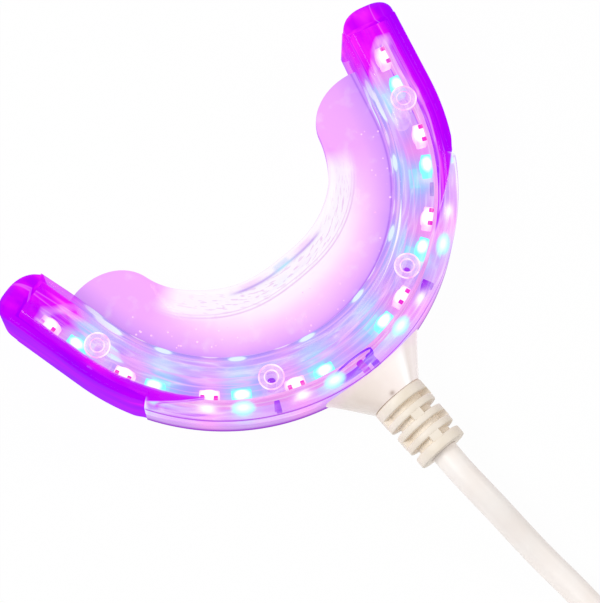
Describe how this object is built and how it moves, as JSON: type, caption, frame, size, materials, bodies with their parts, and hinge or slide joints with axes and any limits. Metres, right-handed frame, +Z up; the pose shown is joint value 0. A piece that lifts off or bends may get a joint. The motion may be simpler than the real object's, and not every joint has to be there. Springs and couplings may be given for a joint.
{
  "type": "teeth whitening light",
  "caption": "U-shaped clear mouthpiece with a soft bite tray, a lit housing of small red and blue lamps, a ribbed strain relief and a corded plug.",
  "frame": {"origin": "bottom centre of the light's bounding box, without its free cord, coil and plug", "axes": "+Z up from the surface that it lies on; +X across the arch, from the left arm to the right arm; the stem and cord point along -Y and the arms open to +Y"},
  "size_m": [0.0954, 0.1376, 0.012],
  "materials": {
    "clear_housing": "clear, polished",
    "clear_tray": "clear soft elastomer, glossy",
    "strip": "flexible circuit film",
    "red_lamp": "lamp with clear resin",
    "blue_lamp": "lamp with clear resin",
    "chip": "satin",
    "stem": "milky, translucent",
    "relief": "satin",
    "cord": "satin",
    "red_wire": "satin",
    "black_wire": "satin",
    "tie": "matte strap",
    "steel": "satin",
    "tongue": "satin",
    "gold": "polished"
  },
  "bodies": {
    "root": {"upper_shell": "clear_housing", "lower_shell": "clear_housing", "mouth_tray": "clear_tray", "led_strip": "strip", "resistor_left": "chip", "resistor_right": "chip", "stem": "stem", "strain_relief": "relief", "wire_red": "red_wire", "wire_black": "black_wire", "cord_coil": "cord", "cord_run": "cord", "cord_tail": "cord", "cord_tie": "tie", "plug_body": "cord", "plug_shell": "steel", "plug_tongue": "tongue", "led_blue_left_1": "blue_lamp", "led_red_left_1": "red_lamp", "led_blue_left_2": "blue_lamp", "led_red_left_2": "red_lamp", "led_blue_left_3": "blue_lamp", "led_red_left_3": "red_lamp", "led_blue_left_4": "blue_lamp", "led_red_left_4": "red_lamp", "led_blue_right_1": "blue_lamp", "led_red_right_1": "red_lamp", "led_blue_right_2": "blue_lamp", "led_red_right_2": "red_lamp", "led_blue_right_3": "blue_lamp", "led_red_right_3": "red_lamp", "led_blue_right_4": "blue_lamp", "led_red_right_4": "red_lamp", "plug_contact_1": "gold", "plug_contact_2": "gold", "plug_contact_3": "gold", "plug_contact_4": "gold"}
  },
  "joints": []
}
